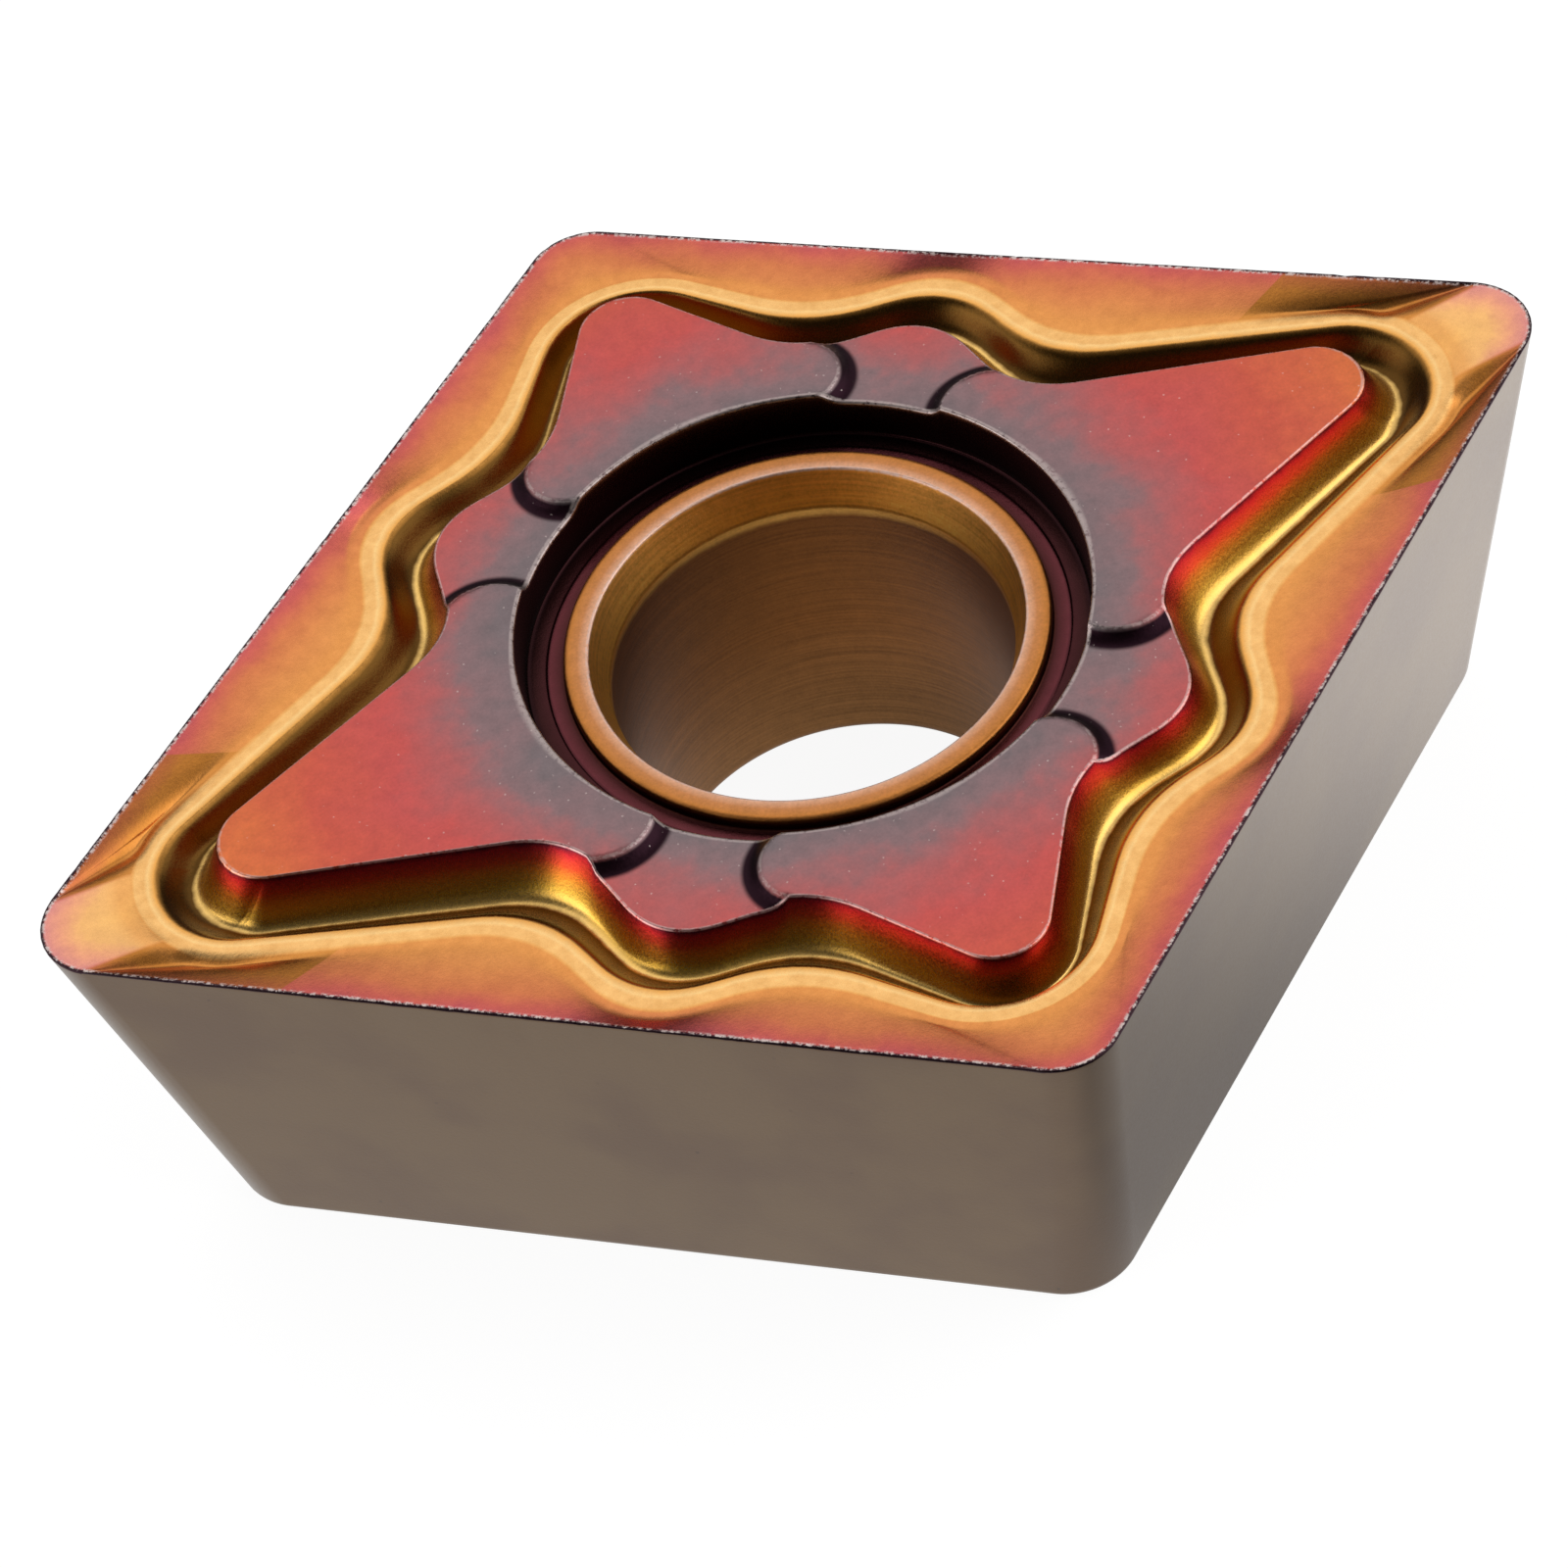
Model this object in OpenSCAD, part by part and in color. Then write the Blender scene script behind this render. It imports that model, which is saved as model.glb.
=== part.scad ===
// Indexable carbide insert: a rhombic plate of sintered tungsten carbide with
// drafted flanks, a pressed chip-breaking relief on the top and one screw hole.
// The long diagonal, which joins the two cutting noses, lies along X. The seat
// face lies on Z = 0, and the hole runs along Z.

/* [Outline] */
// Diameter of the circle that touches all four cutting edges
inscribed_d = 12.7; // [12.2:0.1:14]
// Angle of the two cutting noses, in degrees
nose_angle = 75; // [73:1:80]
// Height from the seat to the cutting edges
thickness = 5.56; // [4.76:0.01:7]
// Clearance angle of the flanks, in degrees
clearance_angle = 7; // [3:0.5:9]
// Radius of the four corners at the cutting edge
nose_r = 0.8; // [0.7:0.05:1.1]
// Radius of the four corners at the seat
seat_corner_r = 0.9; // [0.6:0.05:1.2]

/* [Land] */
// Drop from the cutting edge to the inner side of the land
land_drop = 0.17; // [0.12:0.01:0.24]
// Drop from the cutting edge to the crest beside the groove
crest_drop = 0.13; // [0.08:0.01:0.2]
// Width of the crest, the level strip between land and groove
crest_w = 0.24; // [0.16:0.01:0.3]
// Width of the slope between the land and the crest
crest_slope_w = 0.08; // [0.04:0.01:0.12]
// Half width of the raised pad behind each nose
pad_half_w = 0.56; // [0.45:0.01:0.62]
// Drop from the cutting edge to the inner side of the pad
pad_drop = 0.08; // [0.04:0.01:0.14]
// Drop of the side facets where they meet the pad
facet_drop = 0.32; // [0.24:0.01:0.4]
// Distance from the nose's sharp corner to a facet's end, along the edge
facet_end = 3.45; // [3:0.05:4]
// Skew of the facet's end: distance along the edge for each 1 mm inward
facet_skew = 0.62; // [0.3:0.01:0.8]

/* [Groove] */
// Distance from the nose's sharp corner to the groove's lip, on the diagonal
lip_from_nose = 1.95; // [1.8:0.05:2.2]
// Radius of the groove's lip round the nose
lip_nose_r = 1.12; // [0.95:0.01:1.25]
// Distance along the edge to the first inward bend of the lip
bend_in_at = 6.2; // [6:0.05:6.4]
// Distance from the edge to the first inward bend
bend_in_w = 1.62; // [1.5:0.01:1.75]
// Distance along the edge to the outward bend of the lip
bend_out_at = 7.72; // [7.6:0.02:7.9]
// Distance from the edge to the outward bend
bend_out_w = 0.46; // [0.44:0.01:0.6]
// Distance along the edge to the second inward bend of the lip
second_bend_at = 9.45; // [9.3:0.05:9.7]
// Distance from the edge to the second inward bend
second_bend_w = 1.33; // [1.2:0.01:1.45]
// Distance from the edge to the lip's sharp corner at the wide corners
wide_corner_w = 0.55; // [0.5:0.01:0.7]
// Radius of the groove's lip at the wide corners
wide_corner_r = 1.3; // [1.1:0.05:1.5]
// Width of the groove on the diagonal behind the nose
groove_nose_w = 0.88; // [0.8:0.01:1]
// Width of the groove at the first inward bend
groove_bend_w = 0.88; // [0.8:0.01:1]
// Width of the groove at the outward bend
groove_out_w = 0.68; // [0.62:0.01:0.75]
// Width of the groove at the second inward bend
groove_second_w = 0.76; // [0.7:0.01:0.85]
// Width of the groove at the wide corners
groove_wide_w = 0.5; // [0.45:0.01:0.6]
// Depth of the groove below the line from its lip to the plateau
groove_depth = 0.52; // [0.4:0.01:0.6]
// Radius of the plateau's tip behind the nose
plateau_tip_r = 0.62; // [0.58:0.01:0.7]
// Radius of the plateau at the wide corners
plateau_wide_r = 0.62; // [0.5:0.01:0.8]

/* [Plateaus] */
// Height of the large plateaus above the cutting edges
plateau_rise = 0.2; // [0.1:0.01:0.25]
// Chamfer of the plateau's edge along the groove
plateau_chamfer = 0.03; // [0.01:0.01:0.05]
// Drop from the large plateaus to the four small ones
small_drop = 0.14; // [0.08:0.01:0.18]
// Width of the sloping step between large and small plateaus
step_w = 0.2; // [0.1:0.01:0.26]
// Distance from the hole's axis to the round end of a nose plateau
nose_end_at = 3.84; // [3.8:0.01:3.9]
// Direction of that round end, in degrees from the long diagonal
nose_end_angle = 27.3; // [26.5:0.1:28]
// Radius of that round end
nose_end_r = 0.65; // [0.6:0.01:0.7]
// Distance from the hole's axis to the round end of a wide plateau
wide_end_at = 3.98; // [3.94:0.01:4.02]
// Direction of that round end, in degrees from the long diagonal
wide_end_angle = 66.9; // [66:0.1:67.8]
// Radius of that round end
wide_end_r = 0.55; // [0.5:0.01:0.6]

/* [Hole] */
// Diameter of the screw hole
bore_d = 5; // [4.4:0.05:5.1]
// Width of the countersink, measured on the radius
sink_w = 0.19; // [0.1:0.01:0.24]
// Depth of the countersink below the ring
sink_depth = 0.52; // [0.3:0.01:0.8]
// Drop from the cutting edges to the ring round the hole
ring_drop = 0.24; // [0.2:0.01:0.4]
// Width of the ring round the hole
ring_w = 0.31; // [0.24:0.01:0.34]
// Radius of the ring's outer edge
ring_round = 0.07; // [0.03:0.01:0.09]
// Height of the ring's upright side, below its rounded edge
ring_side = 0.11; // [0.04:0.01:0.16]
// Slope of the floor outside the ring, in degrees
floor_slope = 2; // [1:1:8]
// Width of the floor outside the ring
floor_w = 0.48; // [0.42:0.01:0.54]
// Lean of the wall between the floor and the plateaus, on the radius
wall_lean = 0.05; // [0.02:0.01:0.08]
// Width of the hole's chamfer at the seat, on the radius
seat_chamfer_w = 0.6; // [0.2:0.05:0.8]
// Height of the hole's chamfer at the seat
seat_chamfer_h = 0.6; // [0.2:0.05:0.8]

/* [Hidden] */
$fn = 96;

// Points in each stretch of a quarter of an outline
pad_points = 4;
nose_points = 5;
bend_points = 6;
wide_points = 6;
ring_round_points = 4;
// Steps from the groove's lip to the plateau's edge
groove_steps = 7;
// Gap between the upper and the lower edge of the step beside a pad
pad_step_w = 0.04;
// Furthest that the pad's side may come round the nose, as a share of the turn
pad_limit = 0.9;
step_limit = 0.95;
// Share of a leg that the bend at its end takes up
bend_share = 0.42;
// How far raw shapes run past the faces that trim them
spare = 0.3;
// Directions in which a small plateau's cut leaves the two round ends
nose_end_leave = 50;
wide_end_leave = 45;
// Length of those two lines, from the centre of each round end
nose_end_reach = 1.4;
wide_end_reach = 0.9;

half_angle = nose_angle / 2;
inscribed_r = inscribed_d / 2;
seat_r = inscribed_r - thickness * tan(clearance_angle);
plateau_top = thickness + plateau_rise;
small_top = plateau_top - small_drop;
crest_top = thickness - crest_drop;
ring_top = thickness - ring_drop;
bore_r = bore_d / 2;
ring_inner_r = bore_r + sink_w;
ring_outer_r = ring_inner_r + ring_w;
floor_outer_r = ring_outer_r + floor_w;
floor_bottom = ring_top - ring_round - ring_side - floor_w * tan(floor_slope);

function unit(v) = v / norm(v);
function turned(a) = [cos(a), sin(a)];
function mix(a, b, t) = a * (1 - t) + b * t;

// A place on the top, from its distance along one side, starting at the nose's
// sharp corner, and its distance inward from that side, and the way back
along = [-cos(half_angle), sin(half_angle)];
inward = [-sin(half_angle), -cos(half_angle)];
nose_point = [inscribed_r / sin(half_angle), 0];
function place(u, v) = nose_point + u * along + v * inward;
function place_along(p) = (p - nose_point) * along;
function place_inward(p) = (p - nose_point) * inward;

// An outline is kept as a quarter: its front point on the long diagonal, the
// radius there, the sharp corners of its three bends, the height of its sharp
// corner on the short diagonal, and the radius there
function rhombus(r, corner_r) = [
    r / sin(half_angle) - corner_r * (1 / sin(half_angle) - 1),
    corner_r,
    [for (u = [bend_in_at, bend_out_at, second_bend_at]) place(u, inscribed_r - r)],
    r / cos(half_angle),
    corner_r
];
function mix_outline(a, b, t) = [for (i = [0:4]) mix(a[i], b[i], t)];

// The same outline moved outward, with its own width at each of the bends
function moved(o, nose_w, bend_w, wide_w, nose_round, wide_round) = let (
    turns = concat([nose_turn(o)], o[2], [wide_turn(o)])
) [
    o[0] + nose_w,
    nose_round,
    [for (i = [0:2]) turns[i + 1] + bend_w[i] * mitre(turns[i], turns[i + 1], turns[i + 2])],
    o[3] + wide_w / cos(half_angle),
    wide_round
];

// Step outward at the corner v that moves both legs outward by one
function mitre(a, v, b) = let (
    before = unit(v - a),
    after = unit(b - v),
    middle = unit(before + after)
) [middle[1], -middle[0]] / (middle * before);

// Sharp corner on the long diagonal: where the line from the first bend that
// touches the nose's circle meets the diagonal
function nose_turn(o) = let (
    centre = [o[0] - o[1], 0],
    reach = o[2][0] - centre,
    heading = atan2(reach[1], reach[0]) - acos(o[1] / norm(reach))
) centre + [o[1] / cos(heading), 0];
function wide_turn(o) = [0, o[3]];

// Half of the nose's round, cut in two where the side of the pad meets it
function nose_arc(o) = let (
    turn = nose_turn(o),
    centre = [o[0] - o[1], 0],
    last = atan2(turn[0] - o[2][0][0], o[2][0][1]),
    pad_turn = min(pad_limit * last, asin(min(1, pad_half_w / o[1]))),
    step_turn = min(step_limit * last, asin(min(1, (pad_half_w + pad_step_w) / o[1])))
) [
    for (i = [0:pad_points - 1]) centre + o[1] * turned(pad_turn * i / (pad_points - 1)),
    for (i = [0:nose_points - 1]) centre + o[1] * turned(mix(step_turn, last, i / (nose_points - 1)))
];

// The point of the long run at which the side facet ends
function facet_mark(o) = let (
    a = nose_turn(o),
    b = o[2][0],
    past_a = place_along(a) - facet_skew * place_inward(a) - facet_end,
    past_b = place_along(b) - facet_skew * place_inward(b) - facet_end
) mix(a, b, past_a / (past_a - past_b));

// A smooth bend at the corner v, between the legs from a and to b
function bend(a, v, b) = let (
    reach = bend_share * min(norm(a - v), norm(b - v)),
    from = v + reach * unit(a - v),
    to = v + reach * unit(b - v)
) [
    for (i = [0:bend_points - 1])
        let (t = i / (bend_points - 1)) mix(mix(from, v, t), mix(v, to, t), t)
];

// Half of the round at a wide corner
function wide_arc(o) = let (
    first = atan2(o[2][2][0], o[3] - o[2][2][1]),
    centre = [0, o[3] - o[4] / sin(first)]
) [for (i = [0:wide_points - 1]) centre + o[4] * turned(mix(first, 90, i / (wide_points - 1)))];

function quarter(o) = let (turns = concat([nose_turn(o)], o[2], [wide_turn(o)])) concat(
    nose_arc(o),
    [facet_mark(o)],
    [for (i = [1:3]) each bend(turns[i - 1], turns[i], turns[i + 1])],
    wide_arc(o)
);

// The full ring of points of a quarter, mirrored about both diagonals
function all_round(q) = let (last = len(q) - 1) concat(
    q,
    [for (i = [last - 1:-1:0]) [-q[i][0], q[i][1], q[i][2]]],
    [for (i = [1:last]) [-q[i][0], -q[i][1], q[i][2]]],
    [for (i = [last - 1:-1:1]) [q[i][0], -q[i][1], q[i][2]]]
);
function level(o, z) = all_round([for (p = quarter(o)) [p[0], p[1], z]]);

edge_outline = rhombus(inscribed_r, nose_r);
seat_outline = rhombus(seat_r, seat_corner_r);
lip_outline = [
    nose_point[0] - lip_from_nose,
    lip_nose_r,
    [
        place(bend_in_at, bend_in_w),
        place(bend_out_at, bend_out_w),
        place(second_bend_at, second_bend_w)
    ],
    (inscribed_r - wide_corner_w) / cos(half_angle),
    wide_corner_r
];
plateau_outline = moved(
    lip_outline,
    -groove_nose_w,
    -[groove_bend_w, groove_out_w, groove_second_w],
    -groove_wide_w,
    plateau_tip_r,
    plateau_wide_r
);
function beside_lip(w) = moved(
    lip_outline, w, [w, w, w], w, lip_nose_r + w, wide_corner_r + w
);
crest_outline = beside_lip(crest_w);
land_outline = beside_lip(crest_w + crest_slope_w);

// Inner side of the land: level behind the nose, dipping beside the pad
function land_height(i, p, start, end) =
    i < pad_points ? thickness - pad_drop
    : thickness - mix(facet_drop, land_drop, min(1, (place_along(p) - start) / (end - start)));
function land_ring() = let (
    q = quarter(land_outline),
    start = place_along(q[pad_points]),
    end = place_along(facet_mark(land_outline))
) all_round([for (i = [0:len(q) - 1]) [q[i][0], q[i][1], land_height(i, q[i], start, end)]]);

// The groove's hollow: a sagging curve hung between its lip and the plateau
function groove_height(t) =
    mix(crest_top, plateau_top - plateau_chamfer, t) - groove_depth * sin(180 * t);
function below_seat() = let (
    low = level(seat_outline, 0),
    high = level(edge_outline, thickness)
) [for (i = [0:len(low) - 1]) mix(low[i], high[i], -spare / thickness)];

// A closed shape through rings of points, from the lowest to the last
module loft(rings) {
    count = len(rings[0]);
    last = len(rings) - 1;
    polyhedron(
        points = [for (ring = rings) each ring],
        faces = concat(
            [[for (i = [0:count - 1]) i]],
            [[for (i = [count - 1:-1:0]) last * count + i]],
            [
                for (k = [0:last - 1], i = [0:count - 1])
                    let (a = k * count + i, b = k * count + (i + 1) % count)
                        each [[a, a + count, b + count], [a, b + count, b]]
            ]
        )
    );
}

// The plate with its relief, open upward so that the slab trims the plateaus
module pressed_plate() {
    rise = spare + plateau_chamfer;
    loft(concat(
        [below_seat()],
        [level(edge_outline, thickness)],
        [land_ring()],
        [level(crest_outline, crest_top)],
        [
            for (i = [0:groove_steps])
                let (t = i / groove_steps)
                    level(mix_outline(lip_outline, plateau_outline, t), groove_height(t))
        ],
        [level(
            moved(
                plateau_outline, -rise, -[rise, rise, rise], -rise,
                plateau_tip_r - rise, plateau_wide_r - rise
            ),
            plateau_top + spare
        )]
    ));
}

module slab() {
    width = 2 * nose_point[0];
    translate([-width / 2, -width / 2, 0]) cube([width, width, plateau_top]);
}

// Cone of a round plateau end, whose slope is the step to the small plateau
module round_end(at, angle, r) {
    low = small_drop / 2;
    high = small_drop + spare;
    slope = step_w / small_drop;
    translate([at * cos(angle), at * sin(angle), small_top - low])
        cylinder(h = low + high, r1 = r + step_w + slope * low, r2 = max(0.01, r + step_w - slope * high));
}

// What is pressed away over the small plateau of one side
module small_plateau_cut() {
    nose_end = nose_end_at * turned(nose_end_angle);
    wide_end = wide_end_at * turned(wide_end_angle);
    difference() {
        translate([0, 0, small_top])
            linear_extrude(small_drop + spare / 2)
                polygon([
                    [0, 0],
                    nose_end,
                    nose_end + nose_end_reach * turned(nose_end_leave),
                    place(bend_out_at, bend_out_w + groove_out_w / 2),
                    wide_end + wide_end_reach * turned(wide_end_leave),
                    wide_end
                ]);
        round_end(nose_end_at, nose_end_angle, nose_end_r);
        round_end(wide_end_at, wide_end_angle, wide_end_r);
    }
}

// The hole with its countersink, ring, floor and wall, turned about the axis
module hole() {
    wall_slope = wall_lean / (plateau_top - floor_bottom);
    chamfer_slope = seat_chamfer_w / seat_chamfer_h;
    round_centre = [ring_outer_r - ring_round, ring_top - ring_round];
    rotate_extrude()
        polygon(concat(
            [
                [0, -spare],
                [bore_r + seat_chamfer_w + chamfer_slope * spare, -spare],
                [bore_r, seat_chamfer_h],
                [bore_r, ring_top - sink_depth],
                [ring_inner_r, ring_top]
            ],
            [
                for (i = [0:ring_round_points])
                    round_centre + ring_round * turned(90 * (1 - i / ring_round_points))
            ],
            [
                [ring_outer_r, ring_top - ring_round - ring_side],
                [floor_outer_r, floor_bottom],
                [floor_outer_r + wall_lean + wall_slope * spare, plateau_top + spare],
                [0, plateau_top + spare]
            ]
        ));
}

module insert() {
    color([0.80, 0.42, 0.27])
        difference() {
            intersection() {
                pressed_plate();
                slab();
            }
            for (x = [0, 1], y = [0, 1])
                mirror([x, 0, 0])
                    mirror([0, y, 0])
                        small_plateau_cut();
            hole();
        }
}

insert();
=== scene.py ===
import bpy
import math
import numpy as np
from mathutils import Matrix, Vector


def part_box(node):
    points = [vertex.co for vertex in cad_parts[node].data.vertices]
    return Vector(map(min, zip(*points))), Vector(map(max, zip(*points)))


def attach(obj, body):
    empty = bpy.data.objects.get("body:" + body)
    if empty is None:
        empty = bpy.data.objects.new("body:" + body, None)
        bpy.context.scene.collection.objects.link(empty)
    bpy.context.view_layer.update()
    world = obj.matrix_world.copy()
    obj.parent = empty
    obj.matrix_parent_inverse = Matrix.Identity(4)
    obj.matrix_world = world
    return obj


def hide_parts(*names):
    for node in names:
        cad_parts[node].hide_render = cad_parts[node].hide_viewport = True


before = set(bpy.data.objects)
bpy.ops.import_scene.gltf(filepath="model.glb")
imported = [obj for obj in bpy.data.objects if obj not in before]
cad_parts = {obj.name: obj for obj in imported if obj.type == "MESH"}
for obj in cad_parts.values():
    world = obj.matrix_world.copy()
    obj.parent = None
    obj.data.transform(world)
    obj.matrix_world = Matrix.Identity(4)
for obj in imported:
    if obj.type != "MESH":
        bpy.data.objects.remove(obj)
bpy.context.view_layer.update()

# The insert's form. One rhombic plate of cemented carbide: its powder is pressed
# with the chip-breaking relief on top and the hole, and sintered. The flanks and
# the seat are then ground, and the cutting edge is honed.
mm = 0.001
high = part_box("insert")[1] / mm
nose_angle, clearance_angle = 75, 7
half_angle = math.radians(nose_angle / 2)
sin_half, cos_half = math.sin(half_angle), math.cos(half_angle)
plateau_rise = 0.2
plateau_top = high.z
thickness = plateau_top - plateau_rise
nose_r, seat_corner_r = 0.8, 0.9
inscribed_r = (high.x + nose_r * (1 / sin_half - 1)) * sin_half
seat_r = inscribed_r - thickness * math.tan(math.radians(clearance_angle))

# Relief beside the edge: drops are counted down from the cutting edge
land_drop, crest_drop, pad_drop, facet_drop = 0.132, 0.13, 0.08, 0.21
crest_w, crest_slope_w = 0.17, 0.17
pad_half_w, pad_step_w, dip_share = 0.56, 0.24, 0.24
facet_end, facet_skew = 3.45, 0.62
lip_from_nose, lip_nose_r = 1.95, 1.12
land_nose_r = lip_nose_r + crest_w + crest_slope_w
bend_places = ((6.2, 1.62), (7.72, 0.46), (9.45, 1.33))
wide_corner_w, wide_corner_r = 0.55, 1.3

# Groove, plateaus inside it, and the curved steps down to the four small plateaus
groove_nose_w, groove_bend_w, groove_wide_w = 0.88, (0.88, 0.68, 0.76), 0.5
groove_depth, lip_soft, foot_soft, wall_steepness = 0.46, 0.12, 0.4, 2.6
plateau_tip_r, plateau_wide_r = 0.62, 0.62
small_drop, step_w, step_curve = 0.14, 0.25, 2.4
round_ends = ((3.84, 27.3, 0.65, 50), (3.98, 66.9, 0.55, 45))

# Hole and what is turned round it
bore_r = 2.5
sink_w, sink_depth = 0.19, 0.52
ring_drop, ring_w, ring_round, ring_side = 0.24, 0.31, 0.07, 0.11
floor_w, wall_lean = 0.48, 0.05
floor_step_from, floor_step_w, floor_step = 0.24, 0.02, 0.012
seat_chamfer_w, seat_chamfer_h = 0.6, 0.6
ring_top = thickness - ring_drop
ring_inner_r = bore_r + sink_w
ring_outer_r = ring_inner_r + ring_w
floor_outer_r = ring_outer_r + floor_w
floor_top = ring_top - ring_round - ring_side
floor_bottom = floor_top - floor_step
wall_top_r = floor_outer_r + wall_lean

# Points along a quarter of an outline, in each of its stretches
pad_points, step_points, nose_points = 8, 3, 14
facet_points, run_points = 18, 14
bend_points, between_points, wide_run_points, wide_points = 20, 8, 10, 16
crease_w = 0.02
bend_share = 0.42
pad_limit, step_limit, least_step = 0.9, 0.95, 0.2

nose_point = np.array([inscribed_r / sin_half, 0.0])
along = np.array([-cos_half, sin_half])
inward = np.array([-sin_half, -cos_half])


def place(u, v):
    """The point u along one side from the nose's sharp corner, and v inward from that side."""
    return nose_point + u * along + v * inward


def turned(angles):
    return np.stack([np.cos(angles), np.sin(angles)], -1)


def unit(v):
    return v / np.linalg.norm(v, axis=-1, keepdims=True)


def line(a, b, count):
    """Points between a and b, without the two ends."""
    share = np.linspace(0, 1, count + 2)[1:-1, None]
    return a + (b - a) * share


def rounded(a, corner, b, t):
    """The point t of the way along the curve from a to b that rounds off a corner."""
    return (1 - t) ** 2 * a + 2 * t * (1 - t) * corner + t ** 2 * b


# An outline is ten numbers: its front point on the long diagonal, the radius
# there, the sharp corners of its three bends, the height of its sharp corner on
# the short diagonal, and the radius there
def outline(front, front_r, bends, wide, wide_r):
    return np.array([front, front_r, *np.ravel(bends), wide, wide_r])


def rhombus(r, corner_r):
    bends = [place(u, inscribed_r - r) for u, v in bend_places]
    front = r / sin_half - corner_r * (1 / sin_half - 1)
    return outline(front, corner_r, bends, r / cos_half, corner_r)


def nose_turn(o):
    """Sharp corner on the long diagonal, where the first run's line meets it."""
    centre = np.array([o[0] - o[1], 0])
    reach = o[2:4] - centre
    heading = math.atan2(reach[1], reach[0]) - math.acos(o[1] / np.linalg.norm(reach))
    return centre + [o[1] / math.cos(heading), 0]


def corners(o):
    return [nose_turn(o), o[2:4], o[4:6], o[6:8], np.array([0, o[8]])]


def moved(o, nose_w, bend_w, wide_w, front_r, wide_r):
    """The same outline moved outward, with its own width at each bend."""
    turns = corners(o)
    bends = []
    for i, w in enumerate(bend_w):
        before, after = unit(turns[i + 1] - turns[i]), unit(turns[i + 2] - turns[i + 1])
        middle = unit(before + after)
        bends.append(turns[i + 1] + w * np.array([middle[1], -middle[0]]) / (middle @ before))
    return outline(o[0] + nose_w, front_r, bends, o[8] + wide_w / cos_half, wide_r)


def past_facet(p):
    """How far a point lies beyond the slanting line that ends the facet."""
    return (p - nose_point) @ along - facet_skew * (p - nose_point) @ inward - facet_end


def quarter(o):
    """The outline's points from the long diagonal to the short one."""
    turns = corners(o)
    centre = np.array([o[0] - o[1], 0])
    last = math.atan2(turns[0][0] - turns[1][0], turns[1][1])
    pad_turn = min(pad_limit * last, math.asin(min(1, pad_half_w / o[1])))
    step = pad_step_w * min(1, max(least_step, (o[1] - nose_r) / (land_nose_r - nose_r)))
    step_turn = min(step_limit * last, math.asin(min(1, (pad_half_w + step) / o[1])))
    angles = np.concatenate([
        pad_turn * np.sin(np.linspace(0, math.pi / 2, pad_points)),
        np.linspace(pad_turn, step_turn, step_points + 2)[1:-1],
        last + (step_turn - last) * np.cos(np.linspace(0, math.pi / 2, nose_points)),
    ])
    points = [centre + o[1] * turned(angles)]
    past = [past_facet(p) for p in turns[:2]]
    mark = turns[0] + (turns[1] - turns[0]) * past[0] / (past[0] - past[1])
    beside = crease_w * unit(turns[1] - turns[0])
    points += [line(points[-1][-1], mark, facet_points), np.array([mark - beside, mark, mark + beside])]
    for i, count in ((1, run_points), (2, between_points), (3, between_points)):
        a, v, b = turns[i - 1:i + 2]
        reach = bend_share * min(np.linalg.norm(a - v), np.linalg.norm(b - v))
        start, end = v + reach * unit(a - v), v + reach * unit(b - v)
        bend = rounded(start, v, end, np.linspace(0, 1, bend_points)[:, None])
        points += [line(points[-1][-1], start, count), bend]
    first = math.atan2(turns[3][0], turns[4][1] - turns[3][1])
    centre = np.array([0, o[8] - o[9] / math.sin(first)])
    arc = centre + o[9] * turned(np.linspace(first, math.pi / 2, wide_points))
    arc[-1, 0] = 0
    return np.concatenate(points + [line(points[-1][-1], arc[0], wide_run_points), arc])


edge_outline = rhombus(inscribed_r, nose_r)
seat_outline = rhombus(seat_r, seat_corner_r)
lip_outline = outline(
    nose_point[0] - lip_from_nose, lip_nose_r, [place(u, v) for u, v in bend_places],
    (inscribed_r - wide_corner_w) / cos_half, wide_corner_r,
)
plateau_outline = moved(
    lip_outline, -groove_nose_w, [-w for w in groove_bend_w], -groove_wide_w, plateau_tip_r, plateau_wide_r,
)


def beside_lip(w):
    return moved(lip_outline, w, (w, w, w), w, lip_nose_r + w, wide_corner_r + w)


def level(points, z):
    return np.column_stack([points, np.broadcast_to(z, len(points))])


def step_distance(p):
    """How far a point lies beyond the upper edge of the step to a small plateau."""
    inside = np.ones(len(p), bool)
    distance = np.full(len(p), np.inf)
    for side, (away, angle, r, leave) in zip((1, -1), round_ends):
        middle = away * turned(math.radians(angle))
        for heading, start in ((math.radians(angle), 0 * middle), (math.radians(leave), middle)):
            x, y = turned(heading)
            inside &= side * (x * (p[:, 1] - start[1]) - y * (p[:, 0] - start[0])) > 0
        distance = np.minimum(distance, np.linalg.norm(p - middle, axis=1) - r)
    return np.where(inside, distance, -1)


def edge_distance(p):
    """How far inward a point lies from the cutting edge, seen from above."""
    nose_centre = [edge_outline[0] - nose_r, 0]
    wide_centre = [0, (inscribed_r - nose_r) / cos_half]
    from_nose = nose_r - np.linalg.norm(p - nose_centre, axis=1)
    from_wide = nose_r - np.linalg.norm(p - wide_centre, axis=1)
    from_side = (p - nose_point) @ inward
    at_side = np.where((p - wide_centre) @ along > 0, from_wide, from_side)
    return np.where((p - nose_centre) @ along < 0, from_nose, at_side)


def plateau_level(p):
    share = np.clip(step_distance(p) / step_w, 0, 1)
    return plateau_top - small_drop * (1 - (1 - share) ** step_curve)


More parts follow.
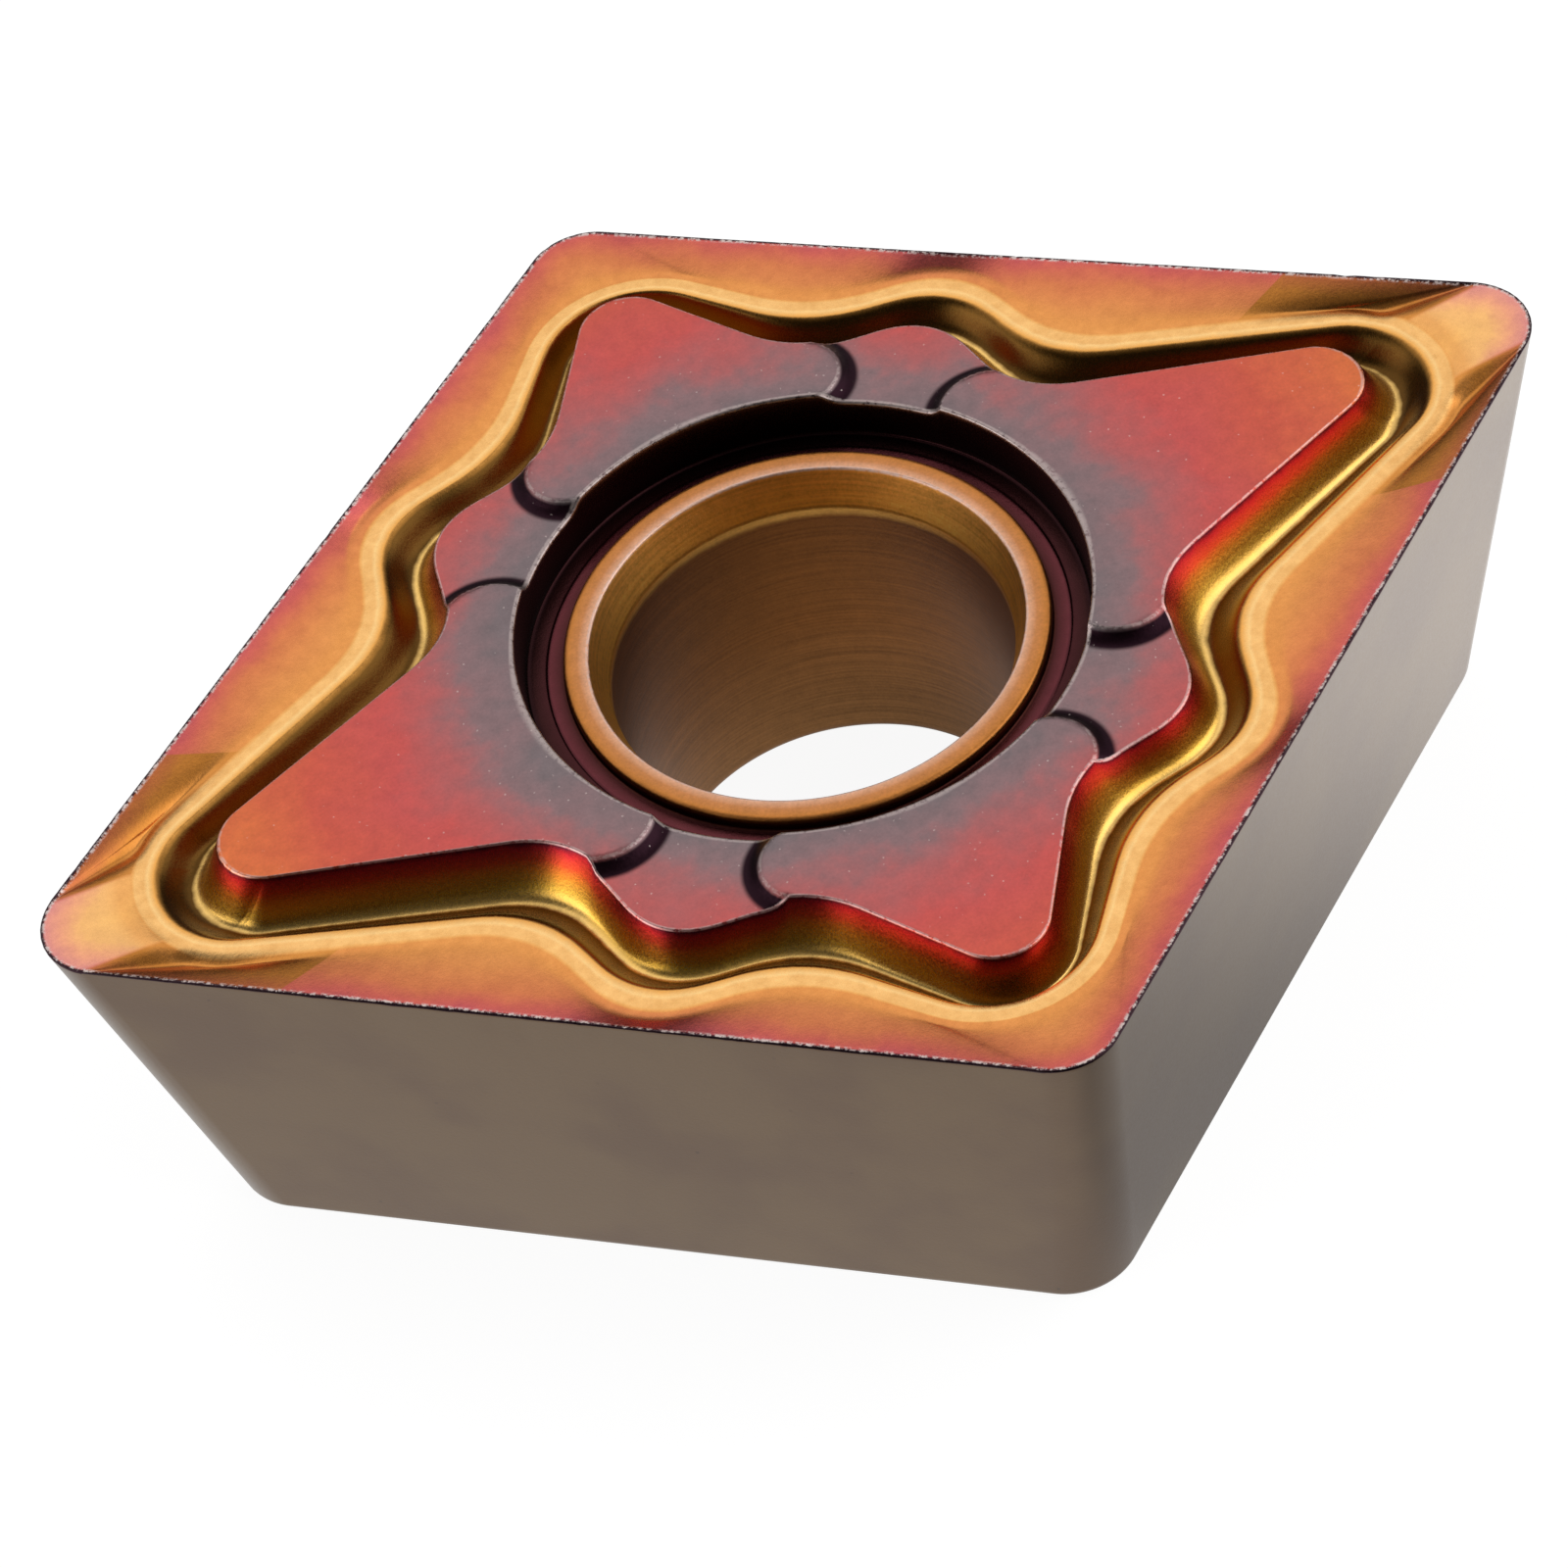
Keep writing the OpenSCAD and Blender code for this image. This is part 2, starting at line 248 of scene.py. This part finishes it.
def groove_height(t):
    """Height of the groove's wall and foot, t of the way from its lip to the plateau."""
    soft = (np.sqrt(t * t + lip_soft ** 2) - lip_soft) / (math.sqrt(1 + lip_soft ** 2) - lip_soft)
    past_middle = (np.hypot(2 * soft - 1, foot_soft) - foot_soft) / (math.hypot(1, foot_soft) - foot_soft)
    depth = groove_depth * np.where(soft < 0.5, np.sin(math.pi * soft), 1 - past_middle)
    return (thickness - crest_drop) * (1 - soft) + plateau_top * soft - depth


# The land's height: it dips smoothly from the pad behind the nose to the facet,
# and rises from there to the slanting line that ends the facet
land_points = quarter(beside_lip(crest_w + crest_slope_w))
u = (land_points - nose_point) @ along
mark_at = pad_points + step_points + nose_points + facet_points + 1
pad_at = pad_points - 1
share = np.clip((u - u[pad_at]) / (u[mark_at] - u[pad_at]), 0, 1)
dip = np.clip(share / dip_share, 0, 1)
land_z = thickness - np.where(
    share < dip_share, pad_drop + (facet_drop - pad_drop) * dip * dip * (3 - 2 * dip),
    facet_drop + (land_drop - facet_drop) * (share - dip_share) / (1 - dip_share))

# The groove's inner wall ends where it meets the plateau, or a small plateau lower down
top_share = np.ones(len(land_points))
lip_points, rim_points = quarter(lip_outline), quarter(plateau_outline)
meeting_steps = 8
for attempt in range(meeting_steps):
    rim = lip_points + (rim_points - lip_points) * top_share[:, None]
    slope = plateau_top - thickness + crest_drop + groove_depth * wall_steepness
    top_share -= (groove_height(top_share) - plateau_level(rim)) / slope
rim = lip_points + (rim_points - lip_points) * top_share[:, None]
directions = np.arctan2(rim[:, 1], rim[:, 0])
directions[-1] = math.pi / 2


def circle(r, z):
    points = r * turned(directions)
    points[-1, 0] = 0
    return level(points, z)


# One spoke of the body at each point of the outline, from the cutting edge over
# the relief, down the hole, along the seat and up the flank. The finish is keyed
# to the places along a spoke, whose numbers are these
at_edge, at_land, at_crest, at_lip, at_rim, at_hole = 1, 2, 2.4, 3, 4, 5
at_floor, at_step_foot, at_step_top, at_ring_foot, at_ring_side, at_ring = 6, 6.4, 6.5, 7, 7.2, 8
at_sink_foot, at_chamfer, at_seat, at_seat_corner, at_end = 9, 10, 11, 12, 13

# Each corner of a spoke has its place, its points, how far its rounding reaches,
# and how many rings the stretch behind it gets
groove_steps, groove_from, groove_to = 17, 0.04, 0.96
step_foot_r = ring_outer_r + floor_step_from
hole_top = circle(wall_top_r, 0)
hole_top[:, 2] = plateau_level(hole_top[:, :2])
spoke = [
    (at_edge, level(quarter(edge_outline), thickness), 0.03, 6),
    (at_land, level(land_points, land_z), 0.07, 0),
    (at_crest, level(quarter(beside_lip(crest_w)), thickness - crest_drop), 0.06, 0),
    (at_lip, level(lip_points, thickness - crest_drop), 0, 0),
]
for share in np.linspace(groove_from, groove_to, groove_steps):
    at = lip_points + (rim_points - lip_points) * (share * top_share)[:, None]
    spoke.append((at_lip + share, level(at, groove_height(share * top_share)), 0, 0))
spoke += [
    (at_rim, level(rim, plateau_level(rim)), 0.02, 20),
    (at_hole, hole_top, 0.03, 3),
    (at_floor, circle(floor_outer_r, floor_bottom), 0.04, 2),
    (at_step_foot, circle(step_foot_r, floor_bottom), 0.012, 0),
    (at_step_top, circle(step_foot_r - floor_step_w, floor_top), 0.012, 1),
    (at_ring_foot, circle(ring_outer_r, floor_top), 0.03, 0),
    (at_ring_side, circle(ring_outer_r, ring_top), 0.06, 2),
    (at_ring, circle(ring_inner_r, ring_top), 0.02, 3),
    (at_sink_foot, circle(bore_r, ring_top - sink_depth), 0.03, 4),
    (at_chamfer, circle(bore_r, seat_chamfer_h), 0.06, 1),
    (at_seat, circle(bore_r + seat_chamfer_w, 0), 0.04, 2),
    (at_seat_corner, level(quarter(seat_outline), 0), 0.05, 4),
    (at_end, spoke[0][1], 0.03, 0),
]


def stretch(v, reach):
    """Step along each v as far as the reach, but never past the middle."""
    length = np.linalg.norm(v, axis=1, keepdims=True)
    return v / length * np.minimum(reach, 0.45 * length)


# Every corner of a spoke is rounded, and a flat stretch keeps a ring close to
# each of its ends, so that it stays flat when shaded
rings, bands = [], []
round_steps, round_spread, support, support_share = 4, 0.01, 0.05, 0.4
for i in range(len(spoke) - 1):
    band, at, reach, count = spoke[i]
    next_band, next_at, next_reach, _ = spoke[i + 1]
    before = spoke[i - 1][1] if i else spoke[-2][1]
    end = at
    if reach:
        start, end = at + stretch(before - at, reach), at + stretch(next_at - at, reach)
        for t in np.linspace(0, 1, round_steps):
            rings.append(rounded(start, at, end, t))
            bands.append(band + (t - 0.5) * round_spread)
    else:
        rings.append(at)
        bands.append(band)
    if count:
        finish = next_at + stretch(at - next_at, next_reach)
        length = np.linalg.norm(finish - end, axis=1, keepdims=True)
        held = np.minimum(support / length, support_share / (count + 1))
        for share in (held, *np.linspace(0, 1, count + 2)[1:-1], 1 - held):
            ring = end + (finish - end) * share
            if band == at_rim:
                ring[:, 2] = plateau_level(ring[:, :2])
            rings.append(ring)
            bands.append(band + (next_band - band) * float(np.mean(share)))

rings, bands = np.array(rings) * mm, np.array(bands)
ring_count, station_count = rings.shape[:2]
index = np.arange(ring_count * station_count).reshape(ring_count, station_count)
following = np.roll(index, -1, 0)
faces = np.stack([index[:, :-1], index[:, 1:], following[:, 1:], following[:, :-1]], -1).reshape(-1, 4)
ground = np.repeat((bands > at_chamfer + 0.5) | (np.roll(bands, -1) < bands), station_count - 1)

mesh = bpy.data.meshes.new("insert_quarter")
mesh.from_pydata(rings.reshape(-1, 3).tolist(), [], faces.tolist())
mesh.attributes.new("band", "FLOAT", "POINT").data.foreach_set("value", np.repeat(bands, station_count))
mesh.attributes.new("ground", "FLOAT", "FACE").data.foreach_set("value", ground.astype(float))
for name, distance in (("past_step", step_distance), ("from_edge", edge_distance)):
    values = distance(rings.reshape(-1, 3)[:, :2] / mm)
    mesh.attributes.new(name, "FLOAT", "POINT").data.foreach_set("value", values)


# The finish. A hard coating a few micrometres thick covers the whole body. On the
# pressed relief it shimmers from gold through orange and red to grey, and on the
# ground flanks it is a dull brown. Along the edges it is worn to pale specks. Some
# shade and highlights are painted into the relief's colour as well.
class Signal:
    """An output of a node. Sums written on it add the nodes that work them out."""

    def __init__(self, tree, socket=None):
        self.tree, self.socket = tree, socket

    def node(self, kind, settings=None, inputs=None, output=0):
        """A new node: its settings first, then its sockets; the signal is one of its outputs."""
        made = self.tree.nodes.new(kind)
        for name, value in (settings or {}).items():
            if name == "stops":
                while len(made.color_ramp.elements) < len(value):
                    made.color_ramp.elements.new(0.5)
                for element, (position, colour) in zip(made.color_ramp.elements, value):
                    element.position, element.color = position, colour
            else:
                setattr(made, name, value)
        self.fill(made, inputs or {})
        return Signal(self.tree, made.outputs[output]) if made.outputs else None

    def fill(self, made, inputs):
        """Set or link a node's sockets; a list links all that it holds to one socket."""
        for name, value in inputs.items():
            for part in value if isinstance(value, list) else [value]:
                if isinstance(part, Signal):
                    self.tree.links.new(part.socket, made.inputs[name])
                else:
                    made.inputs[name].default_value = part

    def output(self, name):
        """Another output of the same node."""
        return Signal(self.tree, self.socket.node.outputs[name])

    def maths(self, operation, a, b=0.0):
        return self.node("ShaderNodeMath", {"operation": operation}, {0: a, 1: b})

    def __add__(self, other):
        return self.maths("ADD", self, other)

    def __radd__(self, other):
        return self.maths("ADD", other, self)

    def __sub__(self, other):
        return self.maths("SUBTRACT", self, other)

    def __rsub__(self, other):
        return self.maths("SUBTRACT", other, self)

    def __mul__(self, other):
        return self.maths("MULTIPLY", self, other)

    def __rmul__(self, other):
        return self.maths("MULTIPLY", other, self)

    def __truediv__(self, other):
        return self.maths("DIVIDE", self, other)

    def __rtruediv__(self, other):
        return self.maths("DIVIDE", other, self)

    def __lt__(self, other):
        return self.maths("LESS_THAN", self, other)

    def __gt__(self, other):
        return self.maths("GREATER_THAN", self, other)

    def __abs__(self):
        return self.maths("ABSOLUTE", self)

    def fade(self, start, end):
        """0 up to start, 1 from end on, and smooth between; start may lie above end."""
        return self.node("ShaderNodeMapRange", {"interpolation_type": "SMOOTHSTEP"},
                         {"Value": self, "From Min": start, "From Max": end})

    def ramp(self, stops):
        """A colour from (value, colour) stops, each value on this signal's own scale."""
        first, last = stops[0][0], stops[-1][0]
        scaled = [((value - first) / (last - first), colour) for value, colour in stops]
        return self.node("ShaderNodeValToRGB", {"stops": scaled}, {"Fac": (self - first) / (last - first)})

    def blend(self, a, b):
        """Colour a where this signal is 0, and b where it is 1."""
        return self.node("ShaderNodeMix", {"data_type": "RGBA"}, {0: self, 6: a, 7: b}, 2)

    def scaled(self, factor):
        """A colour or a place, times a number."""
        return self.node("ShaderNodeVectorMath", {"operation": "SCALE"}, {0: self, "Scale": factor})

    def along_axes(self, factors):
        """A place, times its own number on each axis."""
        return self.node("ShaderNodeVectorMath", {"operation": "MULTIPLY"}, {0: self, 1: factors})

    def noise(self, scale, detail, roughness=0.5):
        """Cloudy noise at this place, round a middle of 0.5."""
        return self.node("ShaderNodeTexNoise", None, {
            "Vector": self, "Scale": scale, "Detail": detail, "Roughness": roughness})


def linear(*channels):
    """A colour from its three 0 to 255 display values, as the shader takes it."""
    shares = (c / 255 / 12.92 if c <= 10 else ((c / 255 + 0.055) / 1.055) ** 2.4 for c in channels)
    return (*shares, 1)


def new_material(name):
    material = bpy.data.materials.new(name)
    material.use_nodes = True
    tree = material.node_tree
    shader = tree.nodes["Principled BSDF"]
    return material, Signal(tree), shader


def in_mm(start):
    """The place on the body, in millimetres."""
    return start.node("ShaderNodeTexCoord", output="Object").scaled(1 / mm)


def coated_relief():
    material, start, shader = new_material("coated_relief")
    where = in_mm(start)
    band, past_step, from_edge = (
        start.node("ShaderNodeAttribute", {"attribute_name": name}, output="Fac")
        for name in ("band", "past_step", "from_edge"))
    flat = where.along_axes((1, 1, 0))
    radius = start.node("ShaderNodeVectorMath", {"operation": "LENGTH"}, {0: flat}, "Value")
    mirrored = start.node("ShaderNodeVectorMath", {"operation": "ABSOLUTE"}, {0: flat})
    off_axis = start.node("ShaderNodeSeparateXYZ", None, {0: mirrored}, "Y")

    clouds = where.noise(0.9, 3.0)
    mottle = where.noise(5.0, 4.0, 0.6)
    grain = where.noise(24.0, 4.0, 0.7)
    chips = where.noise(13.0, 5.0, 0.8)
    marks = where.along_axes((0.4, 0.4, 26)).noise(1.0, 3.0)
    specks = start.node("ShaderNodeTexVoronoi", None, {"Vector": where, "Scale": 7.0})

    # The land: pink at the edge and orange further in, with a peach crest. The pad
    # behind the nose is peach too, and the facets on both sides of it are gold-brown,
    # darker than the pad partly as painted shade for their tilt
    spread = from_edge + (clouds - 0.5) * 0.5 + (mottle - 0.5) * 0.15
    land = spread.ramp([
        (0, linear(200, 92, 96)), (0.16, linear(210, 104, 90)), (0.4, linear(216, 126, 82)),
        (0.8, linear(226, 146, 84)), (1.3, linear(232, 158, 90)),
    ])
    skewed = along - facet_skew * inward
    past_crease = start.node("ShaderNodeVectorMath", {"operation": "DOT_PRODUCT"},
                             {0: mirrored, 1: (*skewed, 0)}, "Value")
    past_crease = past_crease - (facet_end + float(skewed @ nose_point))
    beside_pad = off_axis.fade(pad_half_w - 0.02, pad_half_w + 0.06)
    on_facet = past_crease.fade(0.01, -0.01) * beside_pad
    # The facets' gold-brown is darker than the pad's peach, partly as painted shade.
    facet = (from_edge + (mottle - 0.5) * 0.2).ramp([
        (0, linear(186, 100, 68)), (0.3, linear(194, 124, 56)), (0.8, linear(194, 126, 52)),
        (1.4, linear(176, 110, 44)),
    ])
    pad = (from_edge + (mottle - 0.5) * 0.25).ramp([
        (0.02, linear(222, 142, 140)), (0.25, linear(240, 164, 130)), (0.5, linear(246, 186, 118)),
        (1.2, linear(250, 194, 112)),
    ])
    land = on_facet.blend(land, facet)
    land = beside_pad.blend(pad, land)
    crest = (band + (mottle - 0.5) * 0.3).ramp([
        (at_land, linear(230, 154, 80)), (2.3, linear(242, 180, 106)), (2.6, linear(253, 206, 136)),
        (at_lip, linear(238, 172, 90)),
    ])
    land = band.fade(at_land - 0.25, at_land + 0.25).blend(land, crest)

    # The groove: gold-brown at its lip, then a dark brown on its outer wall that is painted
    # shade, a pale cream at its foot that is a painted highlight, and from yellow over
    # orange and red to a dark red rim on its inner wall, whose darkness is painted shade.
    # The plateaus turn grey at the hole
    groove = (band + (mottle - 0.5) * 0.06).ramp([
        (at_lip, linear(236, 170, 88)), (3.05, linear(150, 104, 48)), (3.1, linear(96, 66, 28)),
        (3.45, linear(92, 63, 27)), (3.53, linear(246, 200, 118)), (3.69, linear(252, 194, 76)),
        (3.79, linear(242, 150, 54)), (3.87, linear(224, 84, 50)), (3.95, linear(196, 48, 54)),
        (3.99, linear(90, 28, 44)),
    ])
    plateau = (radius + (clouds - 0.5) * 1.4 + (mottle - 0.5) * 0.5).ramp([
        (3.5, linear(130, 116, 118)), (4.0, linear(148, 118, 120)), (4.5, linear(182, 106, 106)),
        (5.2, linear(206, 94, 90)), (6.3, linear(212, 98, 80)), (7.6, linear(226, 122, 74)),
    ])
    # Down the hole's wall and across the floor round the ring the colour darkens towards the wall's foot, at
    # the floor's small step and at the ring's foot: painted shade in these recesses and creases. The
    # countersink is painted brighter than the bore, partly as a painted highlight.
    hole = (band + (mottle - 0.5) * 0.02).ramp([
        (at_hole, linear(110, 92, 92)), (5.12, linear(66, 44, 44)), (at_floor, linear(40, 20, 22)),
        (6.1, linear(54, 28, 28)), (at_step_foot, linear(66, 33, 35)), (6.44, linear(52, 27, 30)),
        (6.55, linear(98, 47, 52)), (6.98, linear(70, 35, 35)), (7.15, linear(120, 66, 34)),
        (7.21, linear(204, 132, 66)), (7.6, linear(206, 138, 86)), (at_ring, linear(232, 178, 146)),
        (8.02, linear(236, 172, 88)), (at_sink_foot, linear(250, 190, 95)), (9.02, linear(116, 70, 30)),
        (9.5, linear(120, 74, 34)), (at_chamfer, linear(130, 90, 52)), (at_seat, linear(120, 98, 78)),
    ])
    colour = band.fade(at_lip - 0.01, at_lip + 0.01).blend(land, groove)
    colour = band.fade(at_rim - 0.015, at_rim - 0.005).blend(colour, plateau)
    colour = band.fade(at_hole - 0.01, at_hole).blend(colour, hole)

    on_plateau = band.fade(at_rim, at_rim + 0.01) * band.fade(at_hole, at_hole - 0.01)
    # The walls of the steps down to the small plateaus are painted dark: painted shade.
    painted_step_shade = past_step.fade(0.01, 0.05) * past_step.fade(step_w + 0.02, step_w - 0.06) * on_plateau
    colour = painted_step_shade.blend(colour, linear(42, 24, 32))
    turned_part, in_hole = band.fade(at_ring, at_ring + 0.02), band.fade(at_ring_foot - 0.1, at_ring_foot)
    tone = 1 + (grain - 0.5) * (0.42 + in_hole * 0.3) + (mottle - 0.5) * 0.34
    tone = tone + turned_part * (marks - 0.5) * 0.9
    colour = colour.scaled(tone)

    # Where the coating is honed or worn away: a dark edge with pale chips beside it,
    # pale lines round the plateaus and on the ring, and a few stray specks
    honed = from_edge.fade(0.06, 0.03) * band.fade(1.5, 1.2)
    colour = honed.blend(colour, linear(58, 40, 46))
    inside = (from_edge + (chips - 0.5) * 0.14).fade(0.085, 0.06)
    outside = (from_edge + (chips - 0.5) * 0.1).fade(0.02, 0.04)
    chipped = inside * outside * chips.fade(0.46, 0.58) * band.fade(1.9, 1.8)
    rim = abs(band - at_rim).fade(0.012, 0.006) * chips.fade(0.4, 0.5)
    step_rim = past_step.fade(-0.03, -0.01) * past_step.fade(0.025, 0.01)
    step_rim = step_rim * on_plateau * chips.fade(0.42, 0.54)
    hole_rim = abs(band - at_hole).fade(0.03, 0.008) * chips.fade(0.36, 0.5)
    ring_rim = abs(band - at_ring).fade(0.05, 0.006) * chips.fade(0.35, 0.55)
    stray = (specks < 0.1) * on_plateau * grain.fade(0.48, 0.6) * 0.55
    worn = chipped
    for other in (rim * 0.45, step_rim * 0.35, hole_rim * 0.45, ring_rim * 0.5, stray):
        worn = worn.maths("MAXIMUM", worn, other)
    colour = (worn * 0.9).blend(colour, linear(240, 222, 216))

    height = grain * (0.45 + on_plateau * 0.55 + in_hole * 0.3)
    bump = start.node("ShaderNodeBump", None, {"Strength": 0.25, "Distance": 0.02 * mm, "Height": height})
    rough = 0.27 + (grain - 0.5) * 0.16 + on_plateau * 0.08 + in_hole * 0.12 + worn * 0.2
    start.fill(shader, {"Base Color": colour, "Roughness": rough, "Normal": bump, "Metallic": 1.0})
    return material


def coated_flank():
    material, start, shader = new_material("coated_flank")
    where = in_mm(start)
    clouds = where.noise(0.5, 3.0)
    grain = where.noise(20.0, 4.0, 0.7)
    pits = start.node("ShaderNodeTexVoronoi", None, {"Vector": where, "Scale": 1.9})
    colour = clouds.fade(0.35, 0.65).blend(linear(108, 84, 56), linear(99, 74, 50))
    colour = colour.scaled((grain - 0.5) * 0.35 + 1)
    pit = (pits + (grain - 0.5) * 0.05).fade(0.06, 0.03) * clouds.fade(0.4, 0.6)
    colour = (pit * 0.5).blend(colour, linear(40, 30, 24))
    bump = start.node("ShaderNodeBump", None, {"Strength": 0.1, "Distance": 0.02 * mm, "Height": grain})
    rough = 0.34 + (grain - 0.5) * 0.15
    start.fill(shader, {"Base Color": colour, "Roughness": rough, "Normal": bump, "Metallic": 1.0,
                        "Coat Weight": 0.3, "Coat Roughness": 0.3})
    return material


relief_material, flank_material = coated_relief(), coated_flank()


# The four quarters. The punch that presses the relief is alike on both sides of
# both diagonals, so one quarter is mirrored twice and joined to a closed body.
# Honing leaves tiny nicks along the cutting edge, which differ all the way round.
def body_tree():
    group = bpy.data.node_groups.new("insert_body", "GeometryNodeTree")
    sockets = [("Geometry", "INPUT", "NodeSocketGeometry"), ("Nick depth", "INPUT", "NodeSocketFloat"),
               ("Nick length", "INPUT", "NodeSocketFloat"), ("Seed", "INPUT", "NodeSocketInt"),
               ("Geometry", "OUTPUT", "NodeSocketGeometry")]
    for name, side, kind in sockets:
        group.interface.new_socket(name=name, in_out=side, socket_type=kind)
    start = Signal(group)
    body = start.node("NodeGroupInput")
    depth, length, seed = (body.output(i) for i in (1, 2, 3))
    for scale in ((-1, 1, 1), (1, -1, 1)):
        other = start.node("GeometryNodeTransform", None, {"Geometry": body, "Scale": scale})
        other = start.node("GeometryNodeFlipFaces", None, {"Mesh": other})
        body = start.node("GeometryNodeJoinGeometry", None, {0: [body, other]})
    body = start.node("GeometryNodeMergeByDistance", None, {"Geometry": body, "Distance": 0.0004 * mm})

    band, ground = (
        start.node("GeometryNodeInputNamedAttribute", {"data_type": "FLOAT"}, {"Name": name})
        for name in ("band", "ground"))
    honed = (band > at_end - 0.01) + (band < at_edge + 0.01)
    where = start.node("GeometryNodeInputPosition")
    noise = start.node("ShaderNodeTexNoise", {"noise_dimensions": "4D"},
                       {"Vector": where, "W": seed, "Scale": 1 / length, "Detail": 4.0, "Roughness": 0.7})
    nick = honed * noise.fade(0.5, 0.75) * depth
    drop = start.node("ShaderNodeCombineXYZ", None, {"Z": nick * -1.0})
    body = start.node("GeometryNodeSetPosition", None, {"Geometry": body, "Offset": drop})

    body = start.node("GeometryNodeSetShadeSmooth", None, {"Geometry": body})
    body = start.node("GeometryNodeRealizeInstances", None, {"Geometry": body})
    body = start.node("GeometryNodeSetMaterial", None, {"Geometry": body, "Material": relief_material})
    body = start.node("GeometryNodeSetMaterial", None,
                      {"Geometry": body, "Selection": ground > 0.5, "Material": flank_material})
    start.node("NodeGroupOutput", None, {0: body})
    return group


def grown(name, base, group, values):
    """A plain mesh object from a base mesh and a tree with its inputs set."""
    maker = bpy.data.objects.new(name + "_maker", base)
    bpy.context.scene.collection.objects.link(maker)
    modifier = maker.modifiers.new("tree", "NODES")
    modifier.node_group = group
    for item in group.interface.items_tree:
        if item.in_out == "INPUT" and item.name in values:
            modifier[item.identifier] = values[item.name]
    evaluated = maker.evaluated_get(bpy.context.evaluated_depsgraph_get())
    made = bpy.data.objects.new(name, bpy.data.meshes.new_from_object(evaluated))
    bpy.data.objects.remove(maker)
    bpy.context.scene.collection.objects.link(made)
    return made


body = grown("insert_body", mesh, body_tree(), {"Nick depth": 0.02 * mm, "Nick length": 0.12 * mm, "Seed": 3})
body.data.name = "insert_body"
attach(body, "root")
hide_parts("insert")

# The pale floor the insert stands on. It lies a hair above the seat, which would
# flicker with it when seen from below. What the metal mirrors of it is brightest
# close by, and dimmer in front of the middle of the insert.
floor_size, floor_level = 1.2, 0.01 * mm
side = floor_size / 2
floor_corners = [(x, y, floor_level) for x, y in ((-side, -side), (side, -side), (side, side), (-side, side))]
floor_mesh = bpy.data.meshes.new("floor")
floor_mesh.from_pydata(floor_corners, [], [(0, 1, 2, 3)])
floor = bpy.data.objects.new("floor", floor_mesh)
bpy.context.scene.collection.objects.link(floor)


def pale_floor():
    material, start, shader = new_material("pale_floor")
    seen = start.node("ShaderNodeLightPath", output="Is Camera Ray")
    mirrored = seen.output("Is Glossy Ray")
    where = start.node("ShaderNodeTexCoord", output="Object")
    x = start.node("ShaderNodeSeparateXYZ", None, {0: where}, "X")
    near = x.output("Y").fade(-20 * mm, -8 * mm)
    dim = x.fade(-1 * mm, 1.5 * mm) * x.fade(9 * mm, 3 * mm)
    shine = near * (0.84 - dim * 0.36 + x.fade(3 * mm, 11 * mm) * 0.6) + 0.05
    strength = seen * 1.17 + mirrored * shine
    white = start.node("ShaderNodeEmission", None, {"Color": (1, 1, 1, 1), "Strength": strength})
    matt = start.node("ShaderNodeBsdfDiffuse", None, {"Color": (0.86, 0.86, 0.86, 1)})
    mixed = start.node("ShaderNodeMixShader", None, {0: seen * 0.79 + mirrored, 1: matt, 2: white})
    start.fill(start.tree.nodes["Material Output"], {"Surface": mixed})
    return material


floor_mesh.materials.append(pale_floor())

# The soft light of a small studio, white to the camera: a bright wall behind, a
# lit wall on the right and a narrow one on the left, a dim ceiling and a dark
# room in front. Some light comes from below, for views of the seat.
world = bpy.data.worlds.new("studio")
bpy.context.scene.world = world
world.use_nodes = True
start = Signal(world.node_tree)
heading = start.node("ShaderNodeTexCoord", output="Generated")
x = start.node("ShaderNodeSeparateXYZ", None, {0: heading}, "X")
y, z = x.output("Y"), x.output("Z")
behind = z.fade(0.15, 0.7) * y.fade(0.15, 0.46)
right_side = x.fade(0.15, 0.55) * z.fade(-0.2, 0.05) * y.fade(-0.9, -0.6) * y.fade(0.35, 0.05)
left_side = x.fade(-0.7, -0.92) * z.fade(-0.2, 0.0) * y.fade(-0.5, -0.2)
ceiling = z.fade(0.85, 1.0)
under = z.fade(-0.1, -0.4)
light = 0.05 + behind + right_side * 1.7 + left_side * 2.3 + ceiling * 0.12 + under * 0.8
seen = start.node("ShaderNodeLightPath", output="Is Camera Ray")
strength = seen + (1 - seen) * light
start.fill(world.node_tree.nodes["Background"], {"Color": (1, 1, 1, 1), "Strength": strength})

# The camera stands where the photograph was taken from: its place is found from
# the insert's edges and hole, and its turn from the horizon's tilt.
azimuth, elevation, roll = math.radians(-13.9), math.radians(49.0), math.radians(-13.2)
distance, aim_right, aim_down = 63.3, 1.06, 1.52
focal_pixels, picture_pixels = 4984, 1600
back = Vector((
    math.sin(azimuth) * math.cos(elevation),
    -math.cos(azimuth) * math.cos(elevation),
    math.sin(elevation),
))
right = Vector((math.cos(azimuth), math.sin(azimuth), 0))
up = back.cross(right)
turned_right = right * math.cos(roll) + up * math.sin(roll)
turned_up = up * math.cos(roll) - right * math.sin(roll)
camera_data = bpy.data.cameras.new("camera")
camera = bpy.data.objects.new("camera", camera_data)
bpy.context.scene.collection.objects.link(camera)
bpy.context.scene.camera = camera
camera_data.sensor_width = 36
camera_data.lens = focal_pixels / picture_pixels * camera_data.sensor_width
camera_data.clip_start, camera_data.clip_end = 0.001, 10
stand = back * distance - turned_right * aim_right + turned_up * aim_down
turn = Matrix((turned_right, turned_up, back)).transposed().to_4x4()
camera.matrix_world = Matrix.Translation(stand * mm) @ turn

bpy.context.scene.view_settings.view_transform = "Standard"
